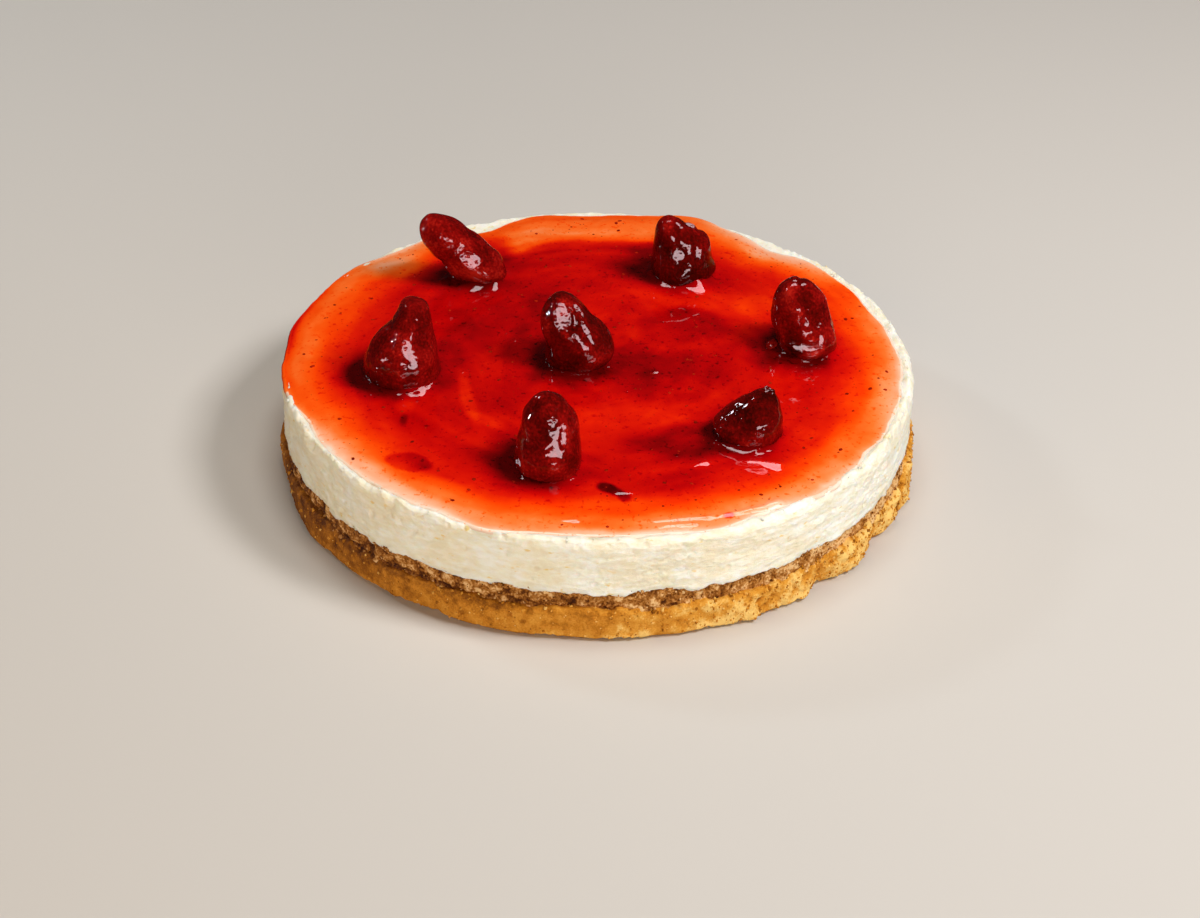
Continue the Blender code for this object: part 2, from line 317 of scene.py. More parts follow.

# The crust is darker at the left, paler at the right and near the foot at the front, and darker just
# under the sponge at the front left, where the darkening is painted shade cast by the sponge's edge.
brown = swells(TURN, ((200, 0.29, 45), (278, -0.10, 26), (345, -0.16, 30)))
brown = brown - 0.20 * (1 - ease(0.05, 0.55, level)) * swells(TURN, ((290, 1.0, 50),))
# Painted shade: darker just under the sponge's edge at the front left.
brown = brown + 0.16 * ease(0.70, 0.95, level) * swells(TURN, ((245, 1.0, 45),))
lit = 0.10 * rough(base_grid, 0.0042, 52)
base_mark = np.clip(0.50 + base_relief / 0.0030 + lit - brown + 0.16 * broken, 0, 1)
crust_tones = (
    (0.0, (92, 46, 6)), (0.25, (150, 88, 14)), (0.5, (198, 126, 34)), (0.75, (220, 154, 58)),
    (1.0, (240, 196, 112)),
)
crust_finish = crumb_finish(
    "baked_shortcrust", crust_tones, roughness=0.75, specular=0.12, raised=0.6, Grain=1500.0, Gain=0.55,
    Patch=240.0,
)
base_mesh = closed_mesh("baked_shortcrust_base", base_grid, relief=base_mark)
serve(base_mesh, crust_finish, "shortcrust", "shortcrust_base")


# Brown sponge. A thin sheet of brown sponge laid on the crust, soaked with juice from above, so its cut side
# is dark moist crumb with paler lumps pressed out between the crust and the filling.
sponge_low, sponge_high = (np.array(corner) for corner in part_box("sponge_layer"))
SPONGE_RADIUS = CAKE_RADIUS - 0.0004
SPONGE_WAVES = ((5, 0.0003, 1.1), (13, 0.0004, 0.7), (23, 0.0003, 2.9))
SPONGE_TOP, SPONGE_FOOT = sponge_high[2] + 0.0016, sponge_low[2] - 0.0014
sponge_profile = run(
    (HUB, SPONGE_TOP), 3, (0.108, SPONGE_TOP), 7, (SPONGE_RADIUS - 0.0006, SPONGE_TOP), 22,
    (SPONGE_RADIUS + 0.0004, SPONGE_FOOT), 6, (0.108, SPONGE_FOOT), 3, (HUB, SPONGE_FOOT),
)
fade = ease(0.108, 0.1135, sponge_profile[:, 0])[:, None]
sponge_grid = turned(sponge_profile, TURN, fade * waves(TURN, SPONGE_WAVES))
warped = sponge_grid + 0.0016 * np.stack([rough(sponge_grid, 0.004, k) for k in (47, 48, 49)], -1)
lump = grains(warped * [1, 1, 1.5], 0.0052, 41)
small = grains(sponge_grid, 0.0016, 43)
sponge_relief = 0.0011 * (0.55 - lump) + 0.0004 * (0.7 - small) + 0.0004 * rough(sponge_grid, 0.0035, 45)
# On the side that kept its skin a hollow runs between the sponge and the crust; as the colour follows
# the relief, the sponge is also painted darker there, a painted shade in the hollow.
hollow = np.exp(-(((sponge_grid[..., 2] - sponge_low[2] - 0.0002) / 0.0007) ** 2))
sponge_relief -= 0.0007 * (hollow * swells(TURN, ((215, 1.0, 45),)))
sponge_grid[..., :2] *= (1 + fade * sponge_relief / CAKE_RADIUS)[..., None]
# Lumps of paler sponge show between dark soaked crumb, most at the right.
pale = ease(0.0, 0.7, rough(warped * [1, 1, 1.8], 0.0065, 53)) * ease(0.75, 0.3, lump)
fleck = rough(sponge_grid, 0.0018, 55, 2)
paler = swells(TURN, ((340, 0.52, 45), (265, 0.08, 25), (190, 0.06, 30)))
# The colour follows the relief, so the hollow at the sponge's foot is painted darker as shade.
sponge_mark = np.clip(0.30 + sponge_relief / 0.0022 + 0.40 * pale + 0.26 * fleck + paler, 0.04, 1)
sponge_tones = (
    (0.0, (66, 30, 6)), (0.25, (112, 60, 14)), (0.5, (158, 98, 36)), (0.75, (196, 138, 74)),
    (1.0, (230, 186, 128)),
)
sponge_finish = crumb_finish(
    "moist_brown_sponge", sponge_tones, roughness=0.7, specular=0.1, raised=0.7, Grain=1200.0, Gain=1.5,
    Patch=260.0,
)
sponge_mesh = closed_mesh("moist_sponge_sheet", sponge_grid, relief=sponge_mark)
serve(sponge_mesh, sponge_finish, "moist_sponge", "sponge_layer")


# Cheese filling. Cream cheese set in a ring that was then drawn off upwards, which leaves level smears, small
# pits and torn curd on the side and a rough white ridge along the top edge, outside the jelly.
cheese_low, cheese_high = (np.array(corner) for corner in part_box("cheese_filling"))
CHEESE_WAVES = ((2, 0.0003, 2.6), (5, 0.0003, 0.3), (11, 0.0002, 1.4))
cheese_foot, cheese_top = cheese_low[2], cheese_high[2]
cheese_profile = run(
    (HUB, cheese_top), 2, (0.100, cheese_top), 15, (CAKE_RADIUS - 0.0020, cheese_top), 3,
    (CAKE_RADIUS - 0.0007, cheese_top - 0.0005), 3, (CAKE_RADIUS, cheese_top - 0.0019), 35,
    (CAKE_RADIUS, cheese_foot), 3, (0.108, cheese_foot), 2, (HUB, cheese_foot),
)
fade = ease(0.104, 0.1135, cheese_profile[:, 0])[:, None]
cheese_grid = turned(cheese_profile, TURN, fade * waves(TURN, CHEESE_WAVES))
jag = rough(RING, 0.0050, 83, 4)
level = np.clip((cheese_grid[..., 2] - cheese_foot) / (cheese_top - cheese_foot), 0, 1)
# The lower edge is dragged into teeth over the sponge.
cheese_grid[..., 2] += fade * (1 - level) ** 3 * (0.0010 * jag + 0.0003)
side = cheese_grid.copy()
side[..., :2] *= (CAKE_RADIUS / np.maximum(np.hypot(side[..., 0], side[..., 1]), 0.05))[..., None]


def lying(field, flatter):
    """A field on the side whose marks lie level: heights are read larger, so the marks come out flatter."""
    return field(side * [1, 1, flatter])


smear = lying(lambda p: rough(p, 0.0110, 61, 4), 5.0)
groove = lying(lambda p: 1 - np.abs(rough(p, 0.0095, 63, 3)) / 0.11, 4.2)
where = ease(-0.4, 0.4, rough(side, 0.022, 65, 2))
torn = lying(lambda p: np.clip(1 - grains(p, 0.0085, 67) / 0.17, 0, 1), 1.7)
speck = lying(lambda p: np.clip(1 - grains(p, 0.0040, 75) / 0.16, 0, 1), 1.4)
curd = 0.7 - grains(side, 0.0021, 69)
lump = waver(side * [1, 1, 1.5], 0.013, 71)
cheese_relief = 0.00045 * smear - 0.0006 * np.clip(groove, 0, 1) * where - 0.0012 * torn**0.8 + 0.0004 * lump
cheese_relief -= 0.0005 * speck * (0.3 + where)
cheese_relief += 0.00020 * curd * (0.5 + where) + 0.00016 * rough(side, 0.0022, 73, 2)
cheese_grid[..., :2] *= (1 + fade * cheese_relief / CAKE_RADIUS)[..., None]
# The ring dragged a rough ridge up along the top edge, most at the left.
way = np.hypot(cheese_grid[..., 0], cheese_grid[..., 1])
top_zone = (cheese_profile[:, 1] > cheese_top - 0.0016)[:, None] * ease(0.106, 0.1105, way)
ridge = np.exp(-(((way - CAKE_RADIUS + 0.0017) / 0.0013) ** 2))
drag = swells(
    TURN, ((205, 0.9, 38), (155, 0.7, 25), (30, 0.5, 30), (335, 0.5, 20), (268, 0.45, 4), (90, 0.2, 40))
)
calm = np.clip(1 - swells(TURN, ((72, 1.0, 14), (103, 0.5, 10), (169, 1.1, 24))), 0, 1)
curl = rough(cheese_grid * [1, 1, 0], 0.0048, 81)
torn_edge = ridge * (0.0004 + 0.0010 * drag) * (1 + 0.9 * curl) + 0.00024 * curl
cheese_grid[..., 2] += top_zone * calm * torn_edge

cheese_finish, tree, shader = finish_of(
    "cream_cheese", Roughness=0.5, Specular_IOR_Level=0.3, Subsurface_Weight=0.45, Subsurface_Scale=1.0,
    Subsurface_Radius=(0.004, 0.003, 0.002),
)
place = add(tree, "TexCoord").outputs["Object"]
level = add(tree, "Mapping", {"Vector": place, "Scale": (1.0, 1.0, 2.4)}).outputs["Vector"]
curd = noise(tree, level, 190.0, 4.0, Roughness=0.6)
cloud = maths(tree, "MULTIPLY_ADD", curd, 1.3, noise(tree, place, 60.0, 3.0))
cloud = maths(tree, "SUBTRACT", cloud, 0.65)
body = scale_of(tree, ((0.25, (241, 229, 200)), (0.45, (246, 237, 214)), (0.75, (252, 248, 236))), cloud)
fleck = noise(tree, level, 240.0)
spots = scale_of(tree, ((0.0, (0, 0, 0)), (0.65, (0, 0, 0)), (0.74, (230, 230, 230))), fleck)
colour = add(tree, "Mix", {"Factor": spots, 6: body, 7: tone(240, 204, 112)}, data_type="RGBA")
tree.links.new(colour.outputs[2], shader.inputs["Base Color"])
fine = noise(tree, level, 380.0, 5.0, Roughness=0.6)
bump = add(tree, "Bump", {"Height": fine, "Strength": 0.6, "Distance": 0.0011})
tree.links.new(bump.outputs["Normal"], shader.inputs["Normal"])
serve(closed_mesh("cream_cheese_filling", cheese_grid), cheese_finish, "cheese_cream", "cheese_filling")


# Strawberries. Whole preserved berries, hulled and stood cut side down, then flooded with glaze: wrinkled
# skins pitted where the seeds sit, very dark red, and wet all over.
#
# A berry's axis runs from its root along its lean, and half is its half width each way. It is sunk in the
# jelly, narrows by its taper, is more or less blunt at its ends, and bent to the side. Along the axis, from 0
# to 1, it has bulges (place, direction, height, spread) and waists (place, half width, depth), and down its
# front grooves (offset, foot, head, half width, depth). Lengths are in metres. The skin is flushed by a
# share, pitted by another and pressed flat as `faced` tells, and the glaze climbs it by swells (direction,
# mm, half width). Its seed sets its wrinkles.
BERRIES = {
    "strawberry_back_left": dict(
        lean=(-0.0296, 0.0005, 0.0270), half=(0.0089, 0.0089), sunk=0.0001, taper=0.13, blunt=3.6,
        bend=0.0005, seed=1, flush=0.20, bulges=((0.16, 180, 0.0031, 0.30), (0.62, 180, 0.0007, 0.30)),
        waists=((0.30, 0.07, 0.0009), (0.60, 0.06, 0.0007)),
        faces=((3.7, 14.4, 4.0, 2.3, -15), (-0.3, 18.9, 1.5, 1.6, 0)),
        climb=((232, 4.0, 22), (292, 3.0, 24)),
    ),
    "strawberry_left": dict(
        lean=(0.0064, 0.0020, 0.0358), half=(0.0163, 0.0155), sunk=0.0039, taper=0.53, blunt=7.0,
        bend=-0.0015, seed=2, flush=0.06,
        bulges=((0.84, 0, -0.0022, 0.30), (0.83, 180, -0.0036, 0.20), (0.39, 180, 0.0005, 0.25),
                (0.44, 275, 0.0028, 0.24)),
        grooves=((-0.0030, 0.15, 0.75, 0.0015, 0.0004),),
        faces=((2.8, 18.2, 1.5, 5.2, 11), (-5.1, 14.4, 1.9, 1.2, -15)), climb=((288, 2.6, 30),),
    ),
    "strawberry_centre": dict(
        lean=(-0.0100, 0.0010, 0.0336), half=(0.0137, 0.0132), sunk=0.0039, taper=0.44, blunt=3.4,
        bend=-0.0009, seed=3, flush=-0.05, pitted=1.0,
        bulges=((0.32, 0, 0.0040, 0.30), (0.48, 180, -0.0025, 0.20)),
        faces=((-5.0, 23.8, 2.9, 5.4, 8), (0.3, 25.2, 1.1, 3.8, 26), (3.6, 17.6, 1.2, 4.6, 24)),
        climb=((270, -0.8, 60), (335, 1.0, 15)),
    ),
    "strawberry_front": dict(
        lean=(0.0003, 0.0003, 0.0342), half=(0.0138, 0.0138), sunk=0.0039, taper=0.47, blunt=4.2,
        bend=-0.0003, seed=4, flush=0.16,
        bulges=((0.62, 0, 0.0009, 0.20), (0.35, 180, -0.0003, 0.30), (0.38, 280, 0.0026, 0.24)),
        faces=((2.4, 14.6, 3.0, 3.0, 0), (5.6, 18.8, 1.1, 3.4, -12), (1.8, 22.6, 0.8, 1.9, -10)),
        climb=((270, -1.6, 60),),
    ),
    "strawberry_front_right": dict(
        lean=(0.0081, -0.0020, 0.0240), half=(0.0141, 0.0131), sunk=0.0029, taper=0.66, blunt=3.5,
        bend=-0.0010, seed=5, flush=0.0,
        bulges=((0.20, 180, 0.0029, 0.30), (0.87, 0, -0.0014, 0.20), (0.60, 275, 0.0024, 0.26)),
        faces=((6.2, 19.8, 1.2, 1.6, -20, 64),),
    ),
    "strawberry_right": dict(
        lean=(-0.0083, 0.0010, 0.0332), half=(0.0137, 0.0132), sunk=0.0039, taper=0.40, blunt=3.3,
        bend=-0.0007, seed=6, flush=0.10,
        bulges=((0.12, 180, -0.0025, 0.30), (0.25, 0, -0.0010, 0.30), (0.22, 280, 0.0022, 0.16)),
        grooves=((-0.0018, 0.86, 1.2, 0.0012, 0.0007),),
        faces=((0.3, 7.4, 5.2, 1.7, -6), (6.1, 10.0, 1.6, 2.2, -20), (0.6, 12.8, 1.9, 0.9, 8),
               (5.4, 14.6, 1.5, 0.8, 40)),
        climb=((275, -0.8, 40),),
    ),
    "strawberry_back": dict(
        lean=(-0.0069, 0.0010, 0.0299), half=(0.0121, 0.0113), sunk=0.0039, taper=0.47, blunt=3.6,
        bend=0.0010, seed=7, flush=-0.06,
        bulges=((0.63, 350, 0.0037, 0.25), (0.14, 0, 0.0033, 0.25), (0.35, 180, 0.0013, 0.25),
                (0.33, 275, 0.0025, 0.20)),
        grooves=((0.0048, 0.45, 1.2, 0.0014, 0.0007), (-0.0035, 0.7, 1.2, 0.0012, 0.0003)),
        faces=((-2.1, 14.7, 2.4, 2.3, -20), (2.3, 22.4, 2.2, 1.1, -25, 65)),
        climb=((302, 6.0, 22), (262, -1.8, 25)),
    ),
}
BERRY_ROWS, BERRY_COLUMNS = 104, 132
# The direction that the flat faces look, and how far most of them lean back, in degrees.
FACE_WAY, FACE_TILT = 279, 21.7
# How high above its foot the jelly stands where it meets the berries.
TOPPING_FOOT, WET_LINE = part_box("strawberry_jelly")[0][2], 0.0026


def berry_skin(berry, along, around):
    """A berry's plain skin and its axis. The section is an ellipse that narrows by the taper and closes at
    both ends by the root of one minus a power of the distance from the middle; bulges are bells in place and
    direction."""
    lean = np.array(berry["lean"])
    axis = lean / np.linalg.norm(lean)
    first = np.array([1.0, 0, 0]) - axis * axis[0]
    first /= np.linalg.norm(first)
    second = np.cross(axis, first)
    closing = np.sqrt(np.clip(1 - np.abs(2 * along - 1) ** berry["blunt"], 0, 1))
    wide, deep = berry["half"]
    out = first * (np.cos(around) * wide)[..., None] + second * (np.sin(around) * deep)[..., None]
    aside = out / np.linalg.norm(out, axis=-1, keepdims=True)
    bulge = sum(
        height * np.exp(-(((along - place) / spread) ** 2) - (off_degrees(around, way) / 55) ** 2)
        for place, way, height, spread in berry["bulges"]
    )
    points = lean * along[..., None] + out * (closing * (1 - berry["taper"] * along))[..., None]
    points = points + aside * (bulge * closing)[..., None]
    points[..., 0] += 4 * along * (1 - along) * berry["bend"]
    return points, axis


def grid_normals(grid):
    """Outward unit directions of a closed grid, from its differences along the rows and round the columns."""
    down = np.gradient(grid, axis=0)
    across = np.roll(grid, -1, axis=1) - np.roll(grid, 1, axis=1)
    normal = np.cross(down, across)
    return normal / np.maximum(np.linalg.norm(normal, axis=-1, keepdims=True), 1e-12)


def faced(grid, own, middle, faces):
    """A grid with flat faces pressed into it, as on a shrunken berry. A face (across, up, half width, half
    height in mm, turn, tilt back if steep) starts at the skin point nearest that place; around it points move
    along the face's normal on to its mean plane, fully inside its ellipse and less and less outside it."""
    way = math.radians(FACE_WAY)
    across = np.array([-math.sin(way), math.cos(way), 0])
    for right, rise, wide, tall, turn, *steep in faces:
        tilt = math.radians(steep[0] if steep else FACE_TILT)
        normal = np.array([math.cos(tilt) * math.cos(way), math.cos(tilt) * math.sin(way), math.sin(tilt)])
        aim = (grid[..., 0] - middle - right / 1000) ** 2 + (grid[..., 2] - TOPPING_FOOT - rise / 1000) ** 2
        away = grid - grid.reshape(-1, 3)[np.argmin(aim + (own @ normal < 0.3))]
        a, b = away @ across * 1000, away @ np.cross(normal, across) * 1000
        c, s = math.cos(math.radians(turn)), math.sin(math.radians(turn))
        part = np.hypot((a * c + b * s) / wide, (b * c - a * s) / tall)
        part = part + 0.22 * waver(grid, 0.0026, 17) + 0.15 * waver(grid, 0.0012, 19)
        held = (1 - ease(0.95, 1.45, part)) * (own @ normal > 0)
        off = away @ normal
        grid = grid - normal * ((off - (off * held).sum() / held.sum()) * held)[..., None]
    return grid


steps = np.linspace(0, np.pi, BERRY_ROWS)
berry_along = np.broadcast_to(((1 + np.cos(steps)) / 2)[:, None], (BERRY_ROWS, BERRY_COLUMNS))
spin = np.linspace(0, 2 * np.pi, BERRY_COLUMNS, endpoint=False)
berry_around = np.broadcast_to(spin, (BERRY_ROWS, BERRY_COLUMNS))


def remap(tree, value, low, high, to_low=0.0, to_high=1.0, **settings):
    """Carries a value's range from low to high on to another range, and holds it at the ends."""
    ranges = {"Value": value, "From Min": low, "From Max": high, "To Min": to_low, "To Max": to_high}
    return add(tree, "MapRange", ranges, **settings).outputs[0]


berry_finish, tree, shader = finish_of(
    "glazed_strawberry", Roughness=0.05, IOR=1.38, Specular_Tint=(1.0, 0.80, 0.84, 1)
)
place = add(tree, "TexCoord").outputs["Object"]
cell = add(tree, "TexVoronoi", {"Vector": place, "Scale": 480.0}).outputs["Distance"]
shade = maths(tree, "MULTIPLY_ADD", noise(tree, place, 140.0, 4.0), 1.0, mark_of(tree, "relief"))
shade = maths(tree, "SUBTRACT", shade, remap(tree, cell, 0.10, 0.30, 0.26, 0.5))
shade = maths(tree, "MULTIPLY_ADD", noise(tree, place, 1050.0, 1.0), 0.8, shade)
shade = maths(tree, "SUBTRACT", shade, 0.4, clamp=True)
skin_tones = ((0.0, (50, 4, 1)), (0.4, (92, 5, 3)), (0.7, (130, 9, 7)), (1.0, (168, 28, 18)))
tree.links.new(scale_of(tree, skin_tones, shade), shader.inputs["Base Color"])
# Seeds sit in small dimples, deeper in some places, and the skin is finely wrinkled between them.
zone = remap(tree, noise(tree, place, 95.0, 1.0), 0.42, 0.60)
pit = maths(tree, "MULTIPLY", remap(tree, cell, 0.0, 0.42, interpolation_type="SMOOTHSTEP"), zone)
fine = noise(tree, place, 560.0, 0.5)
bump = add(tree, "Bump", {"Height": fine, "Strength": 0.36, "Distance": 0.00022}).outputs["Normal"]
bump = add(tree, "Bump", {"Height": pit, "Strength": 0.36, "Distance": 0.0003, "Normal": bump})
tree.links.new(bump.outputs["Normal"], shader.inputs["Normal"])

wet_lines, climbs, berries = [], [], []
for node_name, berry in BERRIES.items():
    low, high = (np.array(corner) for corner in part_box(node_name))
    middle = (low + high)[0] / 2
    grid, axis = berry_skin(berry, berry_along, berry_around)
    kept = grid[grid[..., 2] > berry["sunk"] - 0.0001]
    shift = np.array([*(low + high)[:2] / 2, high[2]])
    shift -= [*(kept.min(0) + kept.max(0))[:2] / 2, kept[:, 2].max()]
    grid = grid + shift
    own = grid_normals(grid)
    seed = 100 * berry["seed"]
    wrinkle = rough(grid - (grid @ axis)[..., None] * axis * 0.25, 0.0072, seed, 2)
    seeded = ease(-0.25, 0.45, waver(grid, 0.012, seed + 5))
    pits = grains(grid, 0.0021, seed + 3)
    relief = 0.00078 * wrinkle
    height_share = (grid[..., 2] - low[2]) / (high[2] - low[2])
    for offset, foot, head, wide, deep in berry.get("grooves", ()):
        across = (grid[..., 0] - middle - offset) / wide
        reached = ease(foot - 0.1, foot + 0.1, height_share) * (height_share < head)
        relief = relief - deep * np.exp(-(across**2)) * reached
    for place, wide, deep in berry.get("waists", ()):
        waist = np.exp(-(((berry_along - place) / wide) ** 2))
        relief = relief - deep * waist * (1 + 0.7 * waver(grid, 0.01, seed + 11))
    ends = ease(0, 0.02, 1 - berry_along)
    grid = faced(grid + own * (relief * ends)[..., None], own, middle, berry.get("faces", ()))
    pitting = 0.00024 * berry.get("pitted", 0.35)
    fine = pitting * seeded * (pits - 0.5) + 0.00005 * rough(grid, 0.0030, seed + 9, 2)
    grid = grid + own * (fine * ends)[..., None]
    shade = np.clip(0.40 + berry["flush"] + wrinkle * 0.34 - 0.25 * seeded * (0.5 - pits), 0, 1)
    berry_mesh = closed_mesh("glazed_" + node_name, grid, relief=shade)
    berries.append(serve(berry_mesh, berry_finish, "glazed_strawberry", node_name))
    wet_lines.append(grid[np.abs(grid[..., 2] - TOPPING_FOOT - WET_LINE) < 0.0007][:, :2])
    climbs.append(berry.get("climb", ((270, 0.6, 30),)))


# Strawberry jelly. Glaze poured on and left to find its own edge: thin and orange over the pale filling near
# the rim, deep red where it pools, almost black where it climbs the berries, with painted shadow beside them.
JELLY_RADIUS = CAKE_RADIUS - 0.0040
JELLY_EDGE, JELLY_MIDDLE = 0.0007, 0.0028
# How steep the sides of folds and ramps are, in metres of rise to a millimetre.
SLOPE = 0.00037
JELLY_WAVES = ((17, 0.0003, 2.0), (26, 0.0002, 0.5))
JELLY_SWELLS = (
    (20, -0.0016, 6), (52, -0.0030, 5), (72, 0.0056, 8), (103, 0.0012, 5), (115, -0.0052, 6),
    (146, 0.0016, 7), (163, 0.0027, 36), (190, 0.0010, 8), (203, -0.0013, 5), (250, 0.0022, 8),
    (269, -0.0010, 8), (290, 0.0022, 6), (314, 0.0025, 10), (168, 0.0017, 20),
)
# Pools that deepen (+) or thin (-) the jelly's colour, from its pouring and spreading with a spoon, and a few
# of painted light, in mm: (x, y, half width, half height, turn in degrees, softness of its edge, gain).
POOLS_AND_PAINTED_LIGHT = (
    (8, -2, 22, 13, -15, 0.6, 0.12), (33, 22, 17, 13, 20, 0.25, 0.11), (-38, 18, 20, 30, 0, 0.6, 0.09),
    (22, -12, 30, 12, 5, 0.7, 0.07), (5, -44, 42, 11, 3, 0.5, -0.05), (34, 43, 28, 10, -12, 0.5, -0.10),
    (58, 30, 8, 14, 0, 0.6, -0.05), (36, -55, 24, 9, 8, 0.5, 0.16), (-30, -30, 30, 14, 20, 0.6, 0.06),
    (-28, -66, 10, 16, 0, 0.5, 0.10), (17, 64, 13, 11, 0, 0.6, 0.12), (62, 8, 7, 12, 0, 0.5, 0.10),
    (78, -2, 16, 8, 0, 0.6, 0.07), (-86, -14, 9, 8, 0, 0.5, 0.16), (-60, 24, 9, 24, 0, 0.6, 0.06),
    (-58, -18, 6, 7, 0, 0.7, 0.12), (-40, 80, 8, 11, 25, 0.6, 0.30), (-55, 64, 11, 9, 0, 0.6, 0.12),
    (-40, 62, 12, 12, 0, 0.6, 0.08), (-65, -70, 7.5, 5.5, -28, 0.10, 0.17),
    (-62, -75, 4.5, 5, -50, 0.35, 0.05), (3.9, -84.8, 3.2, 2.8, -6, 0.3, 0.30),
    (6.9, -87.0, 2.6, 2.2, -30, 0.4, 0.25), (9.8, -90.0, 2.2, 2.8, 10, 0.4, 0.26),
    # (-78, 66) is a painted light patch that pales the jelly where the back-left berry's shadow falls.
    (-78, 66, 9, 8, 30, 0.6, -0.17), (22, 80, 10, 7, 0, 0.6, 0.10), (-20, 40, 9, 9, 0, 0.6, 0.12),
    # (-68.5, -34.5) is a painted reflection of the left berry's highlight in the jelly.
    (-56, 0, 6, 9, 0, 0.6, 0.10), (-68.5, -34.5, 3, 4.5, 15, 0.6, -0.12),
    (45, -98.6, 1.7, 1.1, 25, 0.4, 0.42), (-68, -43.5, 1.4, 3.2, 0, 0.5, 0.14),
    (40, -80, 26, 8, 10, 0.6, 0.08), (-46, -30, 2.5, 16, 12, 0.5, -0.11),
    (-40, -43, 2.5, 9, 50, 0.5, -0.10), (-50, -72, 20, 10, -35, 0.6, 0.05), (42, -2, 12, 12, 0, 0.7, 0.06),
)
# Folds and small swellings raised on the surface, with two even sides each: (x, y) of both ends, and half
# width, in mm.
FOLDS = (
    (31, -70.5, 39, -67.5, 1.9), (46, -68.2, 57, -70.0, 0.8), (50.5, -66.0, 65, -69.0, 3.0),
    (51, -66, 57.5, -60.5, 1.6), (48, -60.3, 56, -57.8, 1.4), (59.5, -56.2, 64.5, -53.6, 1.2),
    (-61.5, 53, -57, 54, 3.0), (15, -102.5, 40, -99.5, 1.1), (20, -105.5, 34, -104.0, 0.9),
    (40, -101.3, 63, -88.8, 2.0), (-12, -103.0, -6, -103.0, 1.4), (70, 8, 81, 9, 4.2),
    (4, 48.5, 6, 53, 1.5), (-1, 76, 1, 77, 1.5), (-4, 52.5, -2, 52, 1.2), (19, -10.5, 22, -10, 1.4),
    (-33, 9, -30, 10.5, 1.4), (33, -30.5, 35, -30, 1.2), (-50, -12, -48, -11.5, 1.2),
    (-67, 47, -63, 47.5, 1.6), (-34, -87, -31, -86.5, 1.3), (67, -30, 69, -29, 1.2), (-9, 88, -7, 88, 1.3),
    (-23, -64, -20, -64, 1.2), (16.6, -86.0, 7.0, -87.6, 1.35),
)
# Darker (+) and paler (-) stretches of the rim: (direction, half width in degrees, inset, half its width in
# mm, gain).
RIM_TONES = (
    (95, 24, 0, 8, 0.16), (30, 7, 4, 7, 0.20), (172, 22, 0, 4.5, 0.36), (160, 26, 19, 5, -0.06),
    (196, 7, 3, 3, 0.08), (228, 10, 6, 3, -0.08), (50, 10, 6, 7, -0.13), (350, 14, 8, 3, -0.05),
    (270, 8, 3, 3, 0.09), (331, 7, 5, 4, 0.10), (305, 14, 2, 3, 0.03), (242, 8, 2, 3, 0.04),
    (218, 22, 1, 4, -0.06), (164, 14, 0, 1.8, 0.35),
)


def jelly_reach(angle):
    """How far from the cake's middle the jelly ran each way: waves and swells, and a ragged edge."""
    reach = JELLY_RADIUS + waves(angle, JELLY_WAVES) + swells(angle, JELLY_SWELLS)
    ragged = 0.0002 + swells(angle, ((330, 0.0005, 22),))
    return reach + ragged * rough(circle(angle, CAKE_RADIUS), 0.0040, 237, 2)


def rim_depth(angle, inset, flat):
    """The colour's depth by the way in from the rim: it deepens evenly inwards, but for the back, where a
    thin bright band ends at a sharp line, and some stretches of the rim are darker or paler."""
    fringe = inset + 1.6 * waver(flat, 0.026, 207) + 0.9 * waver(flat, 0.008, 209)
    plain = np.interp(
        fringe, [0, 0.8, 2, 4, 7, 11, 16, 22, 30], [0.07, 0.125, 0.175, 0.215, 0.275, 0.385, 0.50, 0.61, 0.67]
    )
    behind = np.interp(fringe, [0, 9, 17, 22.5, 26, 31], [0.22, 0.26, 0.24, 0.34, 0.58, 0.70])
    back = ease(0.35, 0.8, swells(angle, ((94, 1.0, 32),)))
    depth = plain * (1 - back) + behind * back
    for place, wide, line, half, gain in RIM_TONES:
        depth += gain * np.exp(-((off_degrees(angle, place) / wide) ** 2) - ((fringe - line) / half) ** 2)
    return depth


def with_pools_and_painted_light(depth, x, y, flat):
    """The colour's depth with the pools added, a few of them painted light, each an ellipse with a soft edge,
    warped less if small.
    """
    warp_x = 2.5 * waver(flat, 0.016, 221) + 0.8 * waver(flat, 0.004, 231)
    warp_y = 2.5 * waver(flat, 0.016, 223) + 0.8 * waver(flat, 0.004, 233)
    for px, py, wide, tall, turn, soft, gain in POOLS_AND_PAINTED_LIGHT:
        c, s = math.cos(math.radians(turn)), math.sin(math.radians(turn))
        drift = min(1, wide / 8)
        dx, dy = x * 1000 - px + drift * warp_x, y * 1000 - py + drift * warp_y
        away = np.hypot((dx * c + dy * s) / wide, (dy * c - dx * s) / tall)
        depth = depth + gain * (1 - ease(1 - soft, 1 + soft, away))
    return depth


def folded(height, x, y, flat):
    """The height with the folds added: each a roof with a softened foot along a wavering line, which widens
    from a pointed start to a blunt end."""
    bend = 1.0 * waver(flat, 0.007, 225) + 0.5 * waver(flat, 0.003, 235)
    for ax, ay, bx, by, wide in FOLDS:
        run_x, run_y = bx - ax, by - ay
        along = ((x * 1000 - ax) * run_x + (y * 1000 - ay) * run_y) / (run_x**2 + run_y**2)
        aside = ((x * 1000 - ax) * run_y - (y * 1000 - ay) * run_x) / math.hypot(run_x, run_y) + bend
        close = np.clip(np.minimum(along + 0.05, (1.05 - along) * 3) * 5, 0.02, 1)
        part = wide * (0.3 + 0.9 * np.clip(along, 0, 1)) * close
        roof = 0.12 * np.logaddexp(0, (1 - np.abs(aside) / part) / 0.12)
        height = height + SLOPE * part * roof * (part > 0.05 * wide)
    return height


